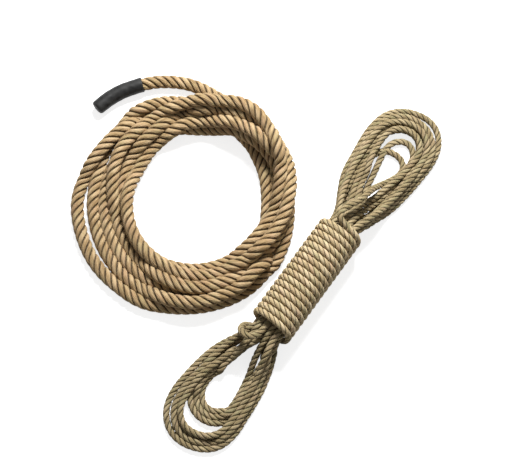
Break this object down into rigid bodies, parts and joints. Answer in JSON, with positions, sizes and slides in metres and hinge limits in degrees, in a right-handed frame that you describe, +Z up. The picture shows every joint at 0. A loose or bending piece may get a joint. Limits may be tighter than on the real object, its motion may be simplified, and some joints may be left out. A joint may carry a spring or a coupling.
{
  "type": "rope set",
  "caption": "Laid natural-fibre rope in a round coil with a black sleeve on its free end, and a thinner rope in a long hank bound round its waist.",
  "frame": {"origin": "on the surface that the ropes lie on, under the middle of the set's outer box", "axes": "+Z up; +X to the right of the coil, towards the hank; +Y to the back, where the coil's free end lies"},
  "size_m": [0.6749, 0.7183, 0.09],
  "materials": {
    "thick_rope": "rough twisted plant fibre, warm straw",
    "thin_rope": "rough twisted plant fibre, greyer straw",
    "sleeve": "satin shrink sleeve"
  },
  "bodies": {
    "root": {"coil_turns": "thick_rope", "coil_tail": "thick_rope", "tail_sleeve": "sleeve", "hank_loops": "thin_rope", "hank_lead": "thin_rope", "hank_wrap": "thin_rope", "hank_tuck": "thin_rope"}
  },
  "joints": []
}
